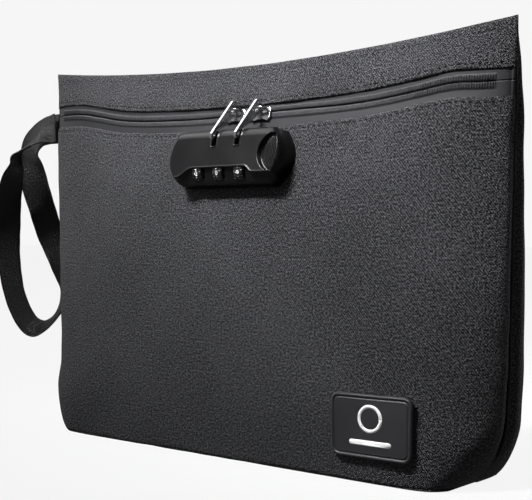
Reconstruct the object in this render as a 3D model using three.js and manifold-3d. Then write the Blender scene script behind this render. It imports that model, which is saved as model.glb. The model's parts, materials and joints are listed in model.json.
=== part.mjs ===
// Cash deposit bag: a boxed-corner fabric pouch with a reverse-coil zipper, two sliders and a dial lock.
// Millimetres, +Z up. The front faces -Y, +X runs along the width, the origin is the middle of the base.
import * as THREE from 'three';
import Module from 'manifold-3d';
import { mergeVertices } from 'three/addons/utils/BufferGeometryUtils.js';

const wasm = await Module();
wasm.setup();

// ---- driving dimensions ----
const HEIGHT = 225; // base to the top corners
const TOP_WIDTH = 330; // between the side seams at the top
const BASE_WIDTH = 274;
const BASE_DEPTH = 68;
const TOP_SAG = 9.4; // how far the top edge hangs at mid-width
const TOP_LEAN = 9.5; // how far the top edge leans to the front
const CORNER_TUCK = 16; // how far the side seam swells out above the boxed corner
const TUCK_HEIGHT = 13;
const FABRIC = 1.0; // coated Oxford cloth with its foam backing
const LINING = 0.5;
const GAP = 0.35; // between neighbouring pieces
// The zipper, as heights measured along the panel from the base.
const BAND_LOW = 186.5;
const COIL_LINE = 194;
const BAND_HIGH = 200;
const TAPE_OVERLAP = 5; // tape sewn behind each panel edge
const TAPE = 0.6;
const COIL_GAP = 0.6; // half the slit between the two tapes
const COIL_DEPTH = 1.4;
const COIL_WIDTH = 2.6;
// The lock, in its own frame: x along the bag, y out of the fabric, z up the fabric.
const LOCK_X = 3.8;
const LOCK_LENGTH = 83;
const LOCK_HEIGHT = 31.5;
const LOCK_TILT = 0.255; // radians, the slope of the panel behind it
const LOCK_FOOT = { y: -29.6, z: 146.8 }; // the lower rear edge
const COVER_WALL = 1.8;
const BASE_PLATE = 1.0;
const DIAL_RADIUS = 5.2;
const DIAL_WIDTH = 6.2;
const DIAL_PITCH = 15;
const DIAL_FIRST = -17.1;
const DIAL_AXIS = { y: 7.0, z: 7.0 };
const SLOT_PITCH = 17.4;
const SLOT_FIRST = -6.6;
const SLOT_WIDTH = 2.6;
// Sliders and pull tabs, in the bag's frame.
const SLIDER_LENGTH = 14;
const SLIDER_WIDTH = 9;
const SLIDER_TILT = 0.33; // radians, the slope of the tape under the sliders
const CROWN = { out: 6.2, up: 2 }; // the crown bar that a tab swings on, from the slider's middle
const TAB_ANGLE = THREE.MathUtils.degToRad(43); // from straight down, at the slot's mouth
const TAB_THICKNESS = 1.6;

// ---- small geometry tools ----
function solid(geometry) {
  const bare = geometry.index ? geometry.toNonIndexed() : geometry.clone();
  for (const name of Object.keys(bare.attributes)) {
    if (name !== 'position') bare.deleteAttribute(name);
  }
  const merged = mergeVertices(bare, 1e-4);
  return new wasm.Manifold(new wasm.Mesh({
    numProp: 3,
    vertProperties: merged.attributes.position.array,
    triVerts: new Uint32Array(merged.index.array),
  }));
}

function geometryOf(manifold) {
  const mesh = manifold.getMesh();
  const geometry = new THREE.BufferGeometry();
  geometry.setAttribute('position', new THREE.BufferAttribute(mesh.vertProperties, 3));
  geometry.setIndex(new THREE.BufferAttribute(mesh.triVerts, 1));
  return geometry;
}

function block(low, high) {
  const size = high.map((value, i) => value - low[i]);
  const geometry = new THREE.BoxGeometry(...size);
  return geometry.translate(...low.map((value, i) => value + size[i] / 2));
}

// A cylinder along x.
function rod(radius, from, to, y, z, sides = 16) {
  const geometry = new THREE.CylinderGeometry(radius, radius, to - from, sides);
  return geometry.rotateZ(Math.PI / 2).translate((from + to) / 2, y, z);
}

function extrudeShape(shape, depth) {
  return new THREE.ExtrudeGeometry(shape, { depth, bevelEnabled: false, curveSegments: 8 });
}

// A (y, z) outline extruded along x.
function alongX(shape, from, to) {
  const geometry = extrudeShape(shape, to - from);
  const turn = new THREE.Matrix4().makeBasis(
    new THREE.Vector3(0, 1, 0), new THREE.Vector3(0, 0, 1), new THREE.Vector3(1, 0, 0));
  return geometry.applyMatrix4(turn).translate(from, 0, 0);
}

// An (x, z) outline extruded along y.
function alongY(shape, from, to) {
  return extrudeShape(shape, to - from).rotateX(Math.PI / 2).translate(0, to, 0);
}

function polygon(points) {
  return new THREE.Shape(points.map(([x, y]) => new THREE.Vector2(x, y)));
}

// A closed slab between two grids of points, outer[i][j] and inner[i][j]. Set flip when it comes inside out.
function slab(outer, inner, flip = false) {
  const columns = outer.length;
  const rows = outer[0].length;
  const points = [...outer.flat(), ...inner.flat()];
  const index = [];
  const at = (side, i, j) => side * columns * rows + i * rows + j;
  const quad = (a, b, c, d) => (flip ? index.push(a, c, b, a, d, c) : index.push(a, b, c, a, c, d));
  for (let i = 0; i < columns - 1; i++) {
    for (let j = 0; j < rows - 1; j++) {
      quad(at(0, i, j), at(0, i + 1, j), at(0, i + 1, j + 1), at(0, i, j + 1));
      quad(at(1, i, j), at(1, i, j + 1), at(1, i + 1, j + 1), at(1, i + 1, j));
    }
  }
  for (let i = 0; i < columns - 1; i++) {
    quad(at(0, i + 1, 0), at(0, i, 0), at(1, i, 0), at(1, i + 1, 0));
    quad(at(0, i, rows - 1), at(0, i + 1, rows - 1), at(1, i + 1, rows - 1), at(1, i, rows - 1));
  }
  for (let j = 0; j < rows - 1; j++) {
    quad(at(0, 0, j), at(0, 0, j + 1), at(1, 0, j + 1), at(1, 0, j));
    quad(at(0, columns - 1, j + 1), at(0, columns - 1, j), at(1, columns - 1, j), at(1, columns - 1, j + 1));
  }
  const geometry = new THREE.BufferGeometry();
  geometry.setAttribute('position', new THREE.Float32BufferAttribute(points.flat(), 3));
  geometry.setIndex(index);
  return geometry;
}

function range(from, to, count) {
  return Array.from({ length: count }, (_, i) => from + (to - from) * i / (count - 1));
}

// A smooth curve through [position, value] stations.
function through(stations, at) {
  let k = 0;
  while (k < stations.length - 2 && at > stations[k + 1][0]) k++;
  const slope = (i) => {
    const a = stations[Math.max(i - 1, 0)];
    const b = stations[Math.min(i + 1, stations.length - 1)];
    return (b[1] - a[1]) / (b[0] - a[0]);
  };
  const [x0, y0] = stations[k];
  const [x1, y1] = stations[k + 1];
  const width = x1 - x0;
  const t = THREE.MathUtils.clamp((at - x0) / width, 0, 1);
  return y0 * (1 + 2 * t) * (1 - t) ** 2 + slope(k) * width * t * (1 - t) ** 2
    + y1 * t * t * (3 - 2 * t) + slope(k + 1) * width * t * t * (t - 1);
}

// ---- the bag's surface ----
// Stations are [height along the panel, value].
const HALF_DEPTH = [[0, BASE_DEPTH / 2], [45, 35], [100, 31], [152, 22.4], [168, 18], [185, 13],
  [193, 10.5], [206, 7.5], [217, 4.6], [HEIGHT, 2.4]];
const SQUARENESS = [[0, 24], [15, 12], [40, 5.5], [80, 3.6], [150, 3.2], [190, 5], [HEIGHT, 5]];

function halfWidth(h) {
  const swell = CORNER_TUCK * (1 - Math.exp(-h / TUCK_HEIGHT));
  const rest = TOP_WIDTH / 2 - BASE_WIDTH / 2 - CORNER_TUCK;
  return BASE_WIDTH / 2 + swell + rest * h / HEIGHT;
}

// The point at height h and share s of the width, on the front (side -1) or back (side 1), set in by inset.
function surface(h, s, side, inset = 0) {
  const x = s * (halfWidth(h) - inset);
  const roundness = 0.3 + 0.2 * Math.min(h / 40, 1);
  const crown = (1 - Math.abs(s) ** through(SQUARENESS, h)) ** roundness;
  const out = Math.max(through(HALF_DEPTH, h) - inset, 0.4) * crown + GAP / 2;
  const sag = TOP_SAG * (1 - s * s) * (h / HEIGHT) ** 1.5;
  return [x, -TOP_LEAN * h / HEIGHT + side * out, h - sag];
}

// Shares of the width, closer together towards the side seams.
function shares(count, limit = 1) {
  return range(-1, 1, count).map((u) => Math.sign(u) * (1 - (1 - Math.abs(u)) ** 1.8) * limit);
}

function panel(side, low, high, rows, outerInset, thickness, columns, limit = 1) {
  const grid = (inset) => shares(columns, limit).map((s) => range(low, high, rows)
    .map((h) => surface(h, s, side, inset)));
  return slab(grid(outerInset), grid(outerInset + thickness), side > 0);
}

// ---- materials ----
const finish = (color, roughness, metalness = 0) => ({ color, roughness, metalness });
const OXFORD = finish(0x2b2b2e, 0.85);
const LINING_CLOTH = finish(0x1c1c1e, 0.9);
const COATED_TAPE = finish(0x26262a, 0.5);
const COIL = finish(0x18181a, 0.5);
const WEBBING = finish(0x141416, 0.7);
const RUBBER = finish(0x161617, 0.6);
const EMBLEM = finish(0xe8e8e8, 0.6);
const ABS = finish(0x1b1b1d, 0.35);
const NYLON = finish(0x232326, 0.4);
const CHROME = finish(0xd8d8dc, 0.15, 1);
const STEEL = finish(0xa8a8ac, 0.35, 1);
const BOARD = finish(0x303030, 0.8);

const bag = new THREE.Group();
const lock = new THREE.Group();
lock.position.set(LOCK_X, LOCK_FOOT.y, LOCK_FOOT.z);
lock.rotation.x = -LOCK_TILT;
bag.add(lock);

function add(name, geometry, look, group = bag) {
  const mesh = new THREE.Mesh(geometry, new THREE.MeshStandardMaterial(look));
  mesh.name = name;
  group.add(mesh);
}

// ---- soft shell ----
function addShell() {
  const base = 1.6; // the panels start above the base panel
  add('front_panel', panel(-1, base, BAND_LOW, 12, 0, FABRIC, 27), OXFORD);
  add('header_panel', panel(-1, BAND_HIGH, HEIGHT, 4, 0, FABRIC, 27), OXFORD);
  add('back_panel', panel(1, base, HEIGHT, 15, 0, FABRIC, 27), OXFORD);
  const liningInset = FABRIC + TAPE + 2 * GAP;
  add('lining_front', panel(-1, 4.5, BAND_LOW - TAPE_OVERLAP - 2, 9, liningInset, LINING, 15, 0.985), LINING_CLOTH);
  add('lining_back', panel(1, 4.5, HEIGHT - 12, 11, liningInset, LINING, 15, 0.985), LINING_CLOTH);
}

function roundedRectangle(width, height, radius, cx = 0, cy = 0) {
  const shape = new THREE.Shape();
  const [x, y] = [cx - width / 2, cy - height / 2];
  shape.moveTo(x + radius, y);
  shape.lineTo(x + width - radius, y);
  shape.absarc(x + width - radius, y + radius, radius, -Math.PI / 2, 0);
  shape.absarc(x + width - radius, y + height - radius, radius, 0, Math.PI / 2);
  shape.absarc(x + radius, y + height - radius, radius, Math.PI / 2, Math.PI);
  shape.absarc(x + radius, y + radius, radius, Math.PI, Math.PI * 1.5);
  return shape;
}

function addBase() {
  const sole = 1.2;
  add('bottom_panel', extrudeShape(roundedRectangle(BASE_WIDTH, BASE_DEPTH, 5), sole), OXFORD);
  const board = extrudeShape(roundedRectangle(BASE_WIDTH - 16, BASE_DEPTH - 14, 6), 1.5);
  add('base_board', board.translate(0, 0, sole + GAP), BOARD);
}

// A cloth binding folded over the seam allowance, standing inwards from each side seam.
function addSeamBindings() {
  for (const [name, sign] of [['seam_binding_left', -1], ['seam_binding_right', 1]]) {
    const heights = range(14, 180, 9);
    const grid = (y) => [3.2, 10].map((inset) => heights.map((h) => {
      const [x, middle, z] = surface(h, sign, -1);
      return [x - sign * inset, middle + GAP / 2 + y, z];
    }));
    add(name, slab(grid(-0.8), grid(0.8), sign > 0), LINING_CLOTH);
  }
}

// ---- zipper ----
function addZipper() {
  const tapeInset = FABRIC + GAP;
  const coilInset = tapeInset + TAPE + GAP;
  const limit = 0.965;
  const slit = COIL_GAP;
  add('zipper_tape_lower',
    panel(-1, BAND_LOW - TAPE_OVERLAP, COIL_LINE - slit, 3, tapeInset, TAPE, 23, limit), COATED_TAPE);
  add('zipper_tape_upper',
    panel(-1, COIL_LINE + slit, BAND_HIGH + TAPE_OVERLAP, 3, tapeInset, TAPE, 23, limit), COATED_TAPE);
  add('zipper_coil_lower',
    panel(-1, COIL_LINE - slit - COIL_WIDTH, COIL_LINE - slit, 2, coilInset, COIL_DEPTH, 23, limit), COIL);
  add('zipper_coil_upper',
    panel(-1, COIL_LINE + slit, COIL_LINE + slit + COIL_WIDTH, 2, coilInset, COIL_DEPTH, 23, limit), COIL);
}

// The middle of both sliders, on the tape's outer face, and the crown bar's height and depth.
const [, SLIDER_Y, SLIDER_Z] = surface(COIL_LINE, LOCK_X / TOP_WIDTH, -1, FABRIC + GAP);
const HINGE = {
  y: SLIDER_Y - CROWN.out * Math.cos(SLIDER_TILT) + CROWN.up * Math.sin(SLIDER_TILT),
  z: SLIDER_Z + CROWN.out * Math.sin(SLIDER_TILT) + CROWN.up * Math.cos(SLIDER_TILT),
};

// A slider: an outer and an inner plate joined by a thin diamond in the slit, and a crown with its bar.
function sliderGeometry(from) {
  const to = from + SLIDER_LENGTH;
  const half = SLIDER_WIDTH / 2;
  const plate = polygon([[from, 2 - half], [from + 2.5, -half], [to - 2.5, -half], [to, 2 - half],
    [to, half - 2], [to - 2.5, half], [from + 2.5, half], [from, half - 2]]);
  const outer = solid(alongY(plate, -2.2, -0.7));
  const inner = solid(alongY(plate, 3.5, 4.7));
  const middle = (from + to) / 2;
  const diamond = block([middle - 2, -1, -0.25], [middle + 2, 4, 0.25]).rotateX(SLIDER_TILT);
  const bar = solid(rod(0.9, from + 1.6, to - 1.6, -CROWN.out, CROWN.up, 12));
  const post = (x) => solid(block([x, -CROWN.out - 0.9, CROWN.up - 1.2], [x + 1.8, -1.5, CROWN.up + 1.2]));
  const whole = outer.add(inner).add(solid(diamond)).add(bar).add(post(from + 1)).add(post(to - 2.8));
  return geometryOf(whole).rotateX(-SLIDER_TILT).translate(0, SLIDER_Y, SLIDER_Z);
}

// A pull tab in the plane of the hinge: along is the distance from the hinge towards the tip,
// across is towards the front edge.
function tabGeometry(x) {
  const outline = polygon([[-1.8, -3.4], [-3.6, -1.4], [-3.8, 0.6], [-2.8, 2.6], [18.4, 2.6], [20.6, 2.4],
    [22.0, 1.4], [22.4, 0], [21.9, -1.1], [20.9, -1.2], [18.9, 0.4], [14.4, -0.6], [8, -3.4]]);
  const flat = solid(extrudeShape(outline, TAB_THICKNESS));
  const drill = (along, across, radius) => solid(new THREE.CylinderGeometry(radius, radius, 4, 12)
    .rotateX(Math.PI / 2).translate(along, across, TAB_THICKNESS / 2));
  const cut = flat.subtract(drill(0, 0, 1.4)).subtract(drill(20.8, 0.6, 0.85));
  const along = new THREE.Vector3(0, -Math.sin(TAB_ANGLE), -Math.cos(TAB_ANGLE));
  const across = new THREE.Vector3(0, -Math.cos(TAB_ANGLE), Math.sin(TAB_ANGLE));
  const place = new THREE.Matrix4().makeBasis(along, across, along.clone().cross(across));
  const geometry = geometryOf(cut).applyMatrix4(place);
  geometry.computeBoundingBox();
  const low = geometry.boundingBox.min.x;
  return geometry.translate(x - TAB_THICKNESS / 2 - low, HINGE.y, HINGE.z);
}

function addSliders() {
  const left = LOCK_X + SLOT_FIRST;
  const right = left + SLOT_PITCH;
  add('slider_left', sliderGeometry(left - SLIDER_LENGTH / 2), CHROME);
  add('slider_right', sliderGeometry(right - SLIDER_LENGTH / 2 + 1), CHROME);
  add('pull_tab_left', tabGeometry(left), CHROME);
  add('pull_tab_right', tabGeometry(right), CHROME);
}

// ---- wrist strap ----
// The loop's centre line, front strand first, and which way its edge points at each of those places.
// Both ends are sewn into the left side seam.
const STRAP_ROUTE = [[-166.5, -10.6, 190], [-175, -11, 189], [-183, -12, 185], [-194, -12, 179],
  [-206, -11, 173], [-213, -9, 160], [-220, -7, 144], [-226, -3, 126], [-229, 0, 105], [-229, 4, 83],
  [-227, 8, 69], [-223, 12, 59], [-217, 15, 55], [-211, 18, 57], [-205, 21, 63], [-198, 22, 74],
  [-193, 21, 88], [-197, 19, 106], [-205, 16, 123], [-211, 14, 140], [-214, 10, 157], [-215, 8, 172],
  [-207, 3, 182], [-189, -2, 189], [-166.5, -6.6, 190]];
const STRAP_EDGE = [[0, 0, 1], [-0.15, 0.34, 0.93], [-0.29, 0.69, 0.66], [-0.45, 0.85, 0.28],
  [-0.68, 0.73, 0], [-0.07, 0.99, 0.1], [0.17, 0.99, 0.04], [0.2, 0.98, 0], [0.02, 1, 0],
  [-0.1, 0.99, 0.12], [-0.14, 0.92, 0.36], [-0.24, 0.84, 0.48], [-0.35, 0.78, 0.52], [-0.58, 0.73, 0.36],
  [-0.72, 0.67, 0.2], [-0.87, 0.49, 0.1], [-0.99, 0.01, -0.15], [-0.85, -0.43, -0.3],
  [-0.82, -0.47, -0.33], [-0.82, -0.5, -0.28], [-0.83, -0.52, -0.2], [-0.98, -0.15, 0.1],
  [-0.79, 0.09, 0.6], [-0.4, 0.17, 0.9], [0, 0, 1]];
const STRAP_WIDTH = 19;
const STRAP_THICKNESS = 1.6;

function addWristStrap() {
  const curve = (points) => new THREE.CatmullRomCurve3(points.map((p) => new THREE.Vector3(...p)));
  const route = curve(STRAP_ROUTE);
  const edge = curve(STRAP_EDGE);
  const steps = 60;
  const corners = [[], [], [], []];
  for (let i = 0; i <= steps; i++) {
    const centre = route.getPoint(i / steps);
    const ahead = route.getTangent(i / steps);
    const width = edge.getPoint(i / steps);
    width.addScaledVector(ahead, -width.dot(ahead)).normalize();
    const normal = new THREE.Vector3().crossVectors(width, ahead);
    const ends = [[-1, 1], [1, 1], [1, -1], [-1, -1]];
    ends.forEach(([w, n], k) => corners[k].push(centre.clone()
      .addScaledVector(width, w * STRAP_WIDTH / 2)
      .addScaledVector(normal, n * STRAP_THICKNESS / 2).toArray()));
  }
  add('wrist_strap', slab([corners[0], corners[1]], [corners[3], corners[2]]), WEBBING);
}

// ---- rubber patch ----
function addPatch() {
  const [width, height, thickness] = [46, 32, 2];
  const plate = alongY(roundedRectangle(width, height, 3), -thickness, 0);
  const ring = new THREE.Shape().absarc(0, 4, 7, 0, 2 * Math.PI);
  ring.holes.push(new THREE.Path().absarc(0, 4, 5.2, 0, 2 * Math.PI));
  const front = -thickness - GAP;
  const emblem = alongY(ring, front - 0.5, front);
  const bar = alongY(roundedRectangle(24, 2.6, 1.2, 0, -8), front - 0.5, front);
  const at = new THREE.Vector3(99, -37.4, 28.2);
  const lean = new THREE.Euler(0, 0, 0.045);
  const pieces = [['patch_base', plate, RUBBER], ['patch_emblem', emblem, EMBLEM], ['patch_bar', bar, EMBLEM]];
  for (const [name, geometry, look] of pieces) {
    geometry.applyMatrix4(new THREE.Matrix4().makeRotationFromEuler(lean)).translate(at.x, at.y, at.z);
    add(name, geometry, look);
  }
}

// ---- lock ----
// The cover's section: rear at y = 0, front out to -y in this outline's first coordinate.
function lockSection(inset) {
  return polygon([[0.3, inset], [-7.2 + inset * 0.4, inset], [-12.4 + inset, 7.4 + inset * 0.3],
    [-13.2 + inset, LOCK_HEIGHT - 4.2], [-9.6 + inset, LOCK_HEIGHT - inset], [0.3, LOCK_HEIGHT - inset]]);
}

// The cover's face outline: a bar with bowed ends.
function lockOutline(inset) {
  const end = LOCK_LENGTH / 2 - inset;
  const bow = 9;
  const top = LOCK_HEIGHT - inset;
  const shape = new THREE.Shape();
  shape.moveTo(-end + bow, inset);
  shape.lineTo(end - bow, inset);
  shape.quadraticCurveTo(end - 1, inset + 1, end, LOCK_HEIGHT * 0.45);
  shape.quadraticCurveTo(end - 0.5, top - 3, end - bow, top);
  shape.lineTo(-end + bow, top);
  shape.quadraticCurveTo(-end + 0.5, top - 3, -end, LOCK_HEIGHT * 0.45);
  shape.quadraticCurveTo(-end + 1, inset + 1, -end + bow, inset);
  return shape;
}

function lockBody(inset) {
  const long = solid(alongX(lockSection(inset), -LOCK_LENGTH, LOCK_LENGTH));
  return long.intersect(solid(alongY(lockOutline(inset), -30, 1)));
}

const BUTTON_X = 29.4; // centre of the finger recess, in the lock's frame

function recessOutline(width, height) {
  const shape = new THREE.Shape();
  shape.moveTo(width / 2, -height / 2);
  shape.lineTo(width / 2, height / 2);
  shape.quadraticCurveTo(-width / 2, height / 2, -width / 2, 0);
  shape.quadraticCurveTo(-width / 2, -height / 2, width / 2, -height / 2);
  return shape;
}

function addLockHousing() {
  let cover = lockBody(0).subtract(lockBody(COVER_WALL));
  cover = cover.subtract(solid(block([-LOCK_LENGTH, -BASE_PLATE - GAP, -1], [LOCK_LENGTH, 2, LOCK_HEIGHT + 1])));
  for (let i = 0; i < 2; i++) {
    const x = SLOT_FIRST + i * SLOT_PITCH;
    cover = cover.subtract(solid(block([x - SLOT_WIDTH / 2, -20, 20], [x + SLOT_WIDTH / 2, -3, 40])));
  }
  for (let i = 0; i < 3; i++) {
    const x = DIAL_FIRST + i * DIAL_PITCH;
    const half = DIAL_WIDTH / 2 + GAP;
    cover = cover.subtract(solid(rod(DIAL_RADIUS + GAP, x - half, x + half, -DIAL_AXIS.y, DIAL_AXIS.z, 24)));
  }
  const recess = alongY(recessOutline(17, 23), -20, -4).translate(BUTTON_X, 0, LOCK_HEIGHT * 0.53);
  cover = cover.subtract(solid(recess));
  add('lock_cover', geometryOf(cover), ABS, lock);
  const plate = lockBody(COVER_WALL + GAP).intersect(
    solid(block([-LOCK_LENGTH, -BASE_PLATE, -1], [LOCK_LENGTH, 0, LOCK_HEIGHT + 1])));
  add('lock_base_plate', geometryOf(plate), NYLON, lock);
}

function addDials() {
  const { y, z } = DIAL_AXIS;
  const span = 2 * DIAL_PITCH;
  add('dial_shaft', rod(1.2, DIAL_FIRST - 6, DIAL_FIRST + span + 6, -y, z, 12), STEEL, lock);
  for (let i = 0; i < 3; i++) {
    const x = DIAL_FIRST + i * DIAL_PITCH;
    const half = DIAL_WIDTH / 2;
    const wheel = solid(rod(DIAL_RADIUS, x - half, x + half, -y, z, 20))
      .subtract(solid(rod(3.0, x - 9, x + 9, -y, z, 16)));
    add(`dial_${i + 1}`, geometryOf(wheel), NYLON, lock);
    const sleeve = solid(rod(2.6, x - half - 0.2, x + half + 0.2, -y, z, 16))
      .subtract(solid(rod(1.6, x - 9, x + 9, -y, z, 12)));
    add(`dial_sleeve_${i + 1}`, geometryOf(sleeve), STEEL, lock);
  }
  for (const [name, from] of [['shaft_holder_left', DIAL_FIRST - 5.8], ['shaft_holder_right', DIAL_FIRST + span + 4.6]]) {
    const cheek = solid(block([from, -y - 1.7, 5.2], [from + 1.2, -BASE_PLATE - GAP, 11]))
      .subtract(solid(rod(1.5, from - 1, from + 3, -y, z, 12)));
    add(name, geometryOf(cheek), STEEL, lock);
  }
}

// The latch: a bar behind the slots with one pin beside each, and the finger pad that moves it.
function addLatch() {
  const rail = { y: [-5.2, -3.4], z: [17.5, 21.5] };
  const pin = { y: -9.6, z: 23.3 };
  let bar = solid(block([SLOT_FIRST + 2, rail.y[0], rail.z[0]], [BUTTON_X + 4, rail.y[1], rail.z[1]]));
  for (let i = 0; i < 2; i++) {
    const x = SLOT_FIRST + i * SLOT_PITCH + 3.4;
    bar = bar.add(solid(block([x, pin.y - 0.9, 20], [x + 2.4, rail.y[0] + 0.2, pin.z + 0.9])));
    bar = bar.add(solid(rod(0.55, x - 2.2, x + 1, pin.y, pin.z, 8)));
  }
  bar = bar.add(solid(block([BUTTON_X, -8.6, 18], [BUTTON_X + 4, rail.y[0] + 0.2, 21])));
  add('latch_bar', geometryOf(bar), STEEL, lock);
  const pad = alongY(recessOutline(12.4, 21.6), -11, -8.95)
    .translate(BUTTON_X + 1.9, 0, LOCK_HEIGHT * 0.53);
  add('release_button', pad, ABS, lock);
  const detent = block([BUTTON_X + 5, -3.0, 17.7], [BUTTON_X + 8.5, -BASE_PLATE - GAP, 21]);
  add('latch_detent', detent, STEEL, lock);
}

function addLockFasteners() {
  const plate = solid(alongY(roundedRectangle(70, 24, 4, 0, 15.5), 4.6, 6.1));
  let pierced = plate;
  const holes = [[-30, 7.5], [30, 7.5], [-30, 23.5], [30, 23.5]];
  const along = (radius, from, to, x, z) => solid(new THREE.CylinderGeometry(radius, radius, to - from, 12)
    .translate(x, (from + to) / 2, z));
  for (const [x, z] of holes) pierced = pierced.subtract(along(1.9, 3, 8, x, z));
  add('lock_backing_plate', geometryOf(pierced), STEEL, lock);
  holes.forEach(([x, z], i) => {
    const screw = along(1.3, 4.2, 6.6, x, z).add(along(2.8, 6.4, 7.8, x, z));
    add(`lock_screw_${i + 1}`, geometryOf(screw), STEEL, lock);
  });
}

addShell();
addBase();
addSeamBindings();
addZipper();
addSliders();
addWristStrap();
addPatch();
addLockHousing();
addDials();
addLatch();
addLockFasteners();

export default bag;
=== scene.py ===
"""Cash deposit bag: fabric shell, zipper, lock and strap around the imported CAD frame. Metres, +Z up."""
import json
import math

import bmesh
import bpy
import numpy as np
from mathutils import Matrix, Vector
from mathutils.geometry import tessellate_polygon


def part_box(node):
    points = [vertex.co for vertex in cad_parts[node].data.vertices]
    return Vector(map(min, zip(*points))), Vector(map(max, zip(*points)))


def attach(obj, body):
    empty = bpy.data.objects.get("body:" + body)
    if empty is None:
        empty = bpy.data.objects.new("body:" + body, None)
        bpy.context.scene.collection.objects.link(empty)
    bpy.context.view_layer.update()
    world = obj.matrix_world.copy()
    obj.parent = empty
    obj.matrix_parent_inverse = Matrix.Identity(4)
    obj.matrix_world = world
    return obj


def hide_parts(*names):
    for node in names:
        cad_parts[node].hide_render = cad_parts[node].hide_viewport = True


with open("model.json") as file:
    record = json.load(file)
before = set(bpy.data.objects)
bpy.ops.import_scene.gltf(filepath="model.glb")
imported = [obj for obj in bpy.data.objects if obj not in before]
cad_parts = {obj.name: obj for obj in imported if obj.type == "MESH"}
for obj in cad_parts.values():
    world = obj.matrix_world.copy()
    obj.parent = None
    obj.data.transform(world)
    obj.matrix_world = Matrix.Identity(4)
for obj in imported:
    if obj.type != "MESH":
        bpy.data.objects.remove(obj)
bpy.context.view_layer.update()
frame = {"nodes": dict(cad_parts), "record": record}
MM = 0.001
TURN = 2 * math.pi

# ---- sizes read from the frame ----
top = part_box("header_panel")
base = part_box("bottom_panel")
HEIGHT = top[1].z
TOP_HALF = top[1].x
BASE_HALF = base[1].x

# ---- sizes of the looks, chosen to match the photo ----
# Sag and lean of the top edge, and tuck of the base corners.
TOP_SAG = 9.4 * MM
TOP_LEAN = 9.5 * MM
CORNER_TUCK = 16 * MM
TUCK_HEIGHT = 13 * MM
# Cloth thickness, and the gap between front and back where they meet.
FABRIC = 1.0 * MM
GAP = 0.35 * MM
# Heights along the panel from the base.
BAND_LOW = 186.5 * MM
COIL_LINE = 194 * MM
BAND_HIGH = 200 * MM
# The side seams sit in a valley between the front and back of the shell.
PINCH = 3.2 * MM
BACK_PINCH = 4.2 * MM
PINCH_WIDTH = 4.0 * MM
# A folded edge rounds off over this radius, by this much.
FOLD_RADIUS = 1.6 * MM
FOLD_DROP = 0.9 * MM

# Half the bag's depth by height, both in mm.
HALF_DEPTH = [(0, 34), (45, 35), (100, 31), (152, 22.4), (168, 18), (185, 13), (193, 10.5), (206, 7.5),
              (217, 4.6), (225, 2.4)]
# The power that squares the section off, by height in mm.
SQUARENESS = [(0, 24), (15, 12), (40, 5.5), (80, 3.6), (150, 3.2), (190, 5), (225, 5)]
# How far the zipper line rises above its even height, in mm, by share of the width.
BAND_RISE = [(-1, 2.3), (-0.92, 4.2), (-0.8, 5.0), (-0.7, 3.6), (-0.6, 1.6), (-0.5, 0.6), (-0.35, 0.2),
             (0, 0), (0.35, 0.2), (0.5, 0.6), (0.6, 1.4), (0.7, 2.6), (0.8, 3.6), (0.9, 1.9), (1, 0.6)]


def through(stations, at):
    """A smooth curve through (position, value) stations, for an array of positions."""
    x, y = np.array(stations, float).T
    slope = np.empty_like(y)
    slope[1:-1] = (y[2:] - y[:-2]) / (x[2:] - x[:-2])
    slope[0] = (y[1] - y[0]) / (x[1] - x[0])
    slope[-1] = (y[-1] - y[-2]) / (x[-1] - x[-2])
    k = np.clip(np.searchsorted(x, at, side="right") - 1, 0, len(x) - 2)
    width = x[k + 1] - x[k]
    t = np.clip((at - x[k]) / width, 0, 1)
    return (y[k] * (1 + 2 * t) * (1 - t) ** 2 + slope[k] * width * t * (1 - t) ** 2
            + y[k + 1] * t * t * (3 - 2 * t) + slope[k + 1] * width * t * t * (t - 1))


def smooth(low, high, at):
    t = np.clip((at - low) / (high - low), 0, 1)
    return t * t * (3 - 2 * t)


def rounded_step(distance, radius):
    """Height factor of an edge rounded over the radius: 0 at the edge, 1 beyond the radius."""
    t = np.clip(distance / radius, 0, 1)
    return np.sqrt(np.clip(1 - (1 - t) ** 2, 0, 1))


def bell(offset, width):
    """A bell curve: 1 at no offset, falling away over the width."""
    return np.exp(-(offset / width) ** 2)


def corner_distance(a, b):
    """Signed distance from a right-angled corner, positive outside, from the distances past its two sides."""
    return np.sqrt(np.maximum(a, 0) ** 2 + np.maximum(b, 0) ** 2) + np.minimum(np.maximum(a, b), 0)


def half_width(h):
    swell = CORNER_TUCK * (1 - np.exp(-h / TUCK_HEIGHT))
    return BASE_HALF + swell + (TOP_HALF - BASE_HALF - CORNER_TUCK) * h / HEIGHT


def squareness(mm, side):
    """How boxy the section is at a height in mm: the back fills out further than the front."""
    return through(SQUARENESS, mm) * (1.0 if side < 0 else 1 + 1.6 * smooth(20, 60, mm))


def surface(h, s, side, inset=0.0):
    """The surface at height h and share s of the width; side -1 is the front. Arrays in, (..., 3) out."""
    h, s = np.broadcast_arrays(np.asarray(h, float), np.asarray(s, float))
    mm = h / MM
    roundness = 0.3 + 0.2 * np.minimum(mm / 40, 1)
    crown = (1 - np.minimum(np.abs(s), 1) ** squareness(mm, side)) ** roundness
    out = np.maximum(through(HALF_DEPTH, mm) * MM - inset, 0.4 * MM) * crown + GAP / 2
    fullness = PINCH if side < 0 else BACK_PINCH
    fade = 1 - smooth(205, 222, mm) if side < 0 else 1 - 0.6 * smooth(212, 225, mm)
    lobe = fullness * smooth(6, 30, mm) * fade * (1 - bell(out, PINCH_WIDTH))
    x = s * (half_width(h) - inset + lobe)
    sag = TOP_SAG * (1 - s * s) * (h / HEIGHT) ** 1.5
    return np.stack([x, -TOP_LEAN * h / HEIGHT + side * out, h - sag], -1)


def warp(h, s):
    """The height along the panel once the zipper line's rise towards the ends is added."""
    lift = smooth(105 * MM, BAND_LOW, h) * (1 - smooth(BAND_HIGH, HEIGHT, h))
    return h + through(BAND_RISE, s) * MM * lift


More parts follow.
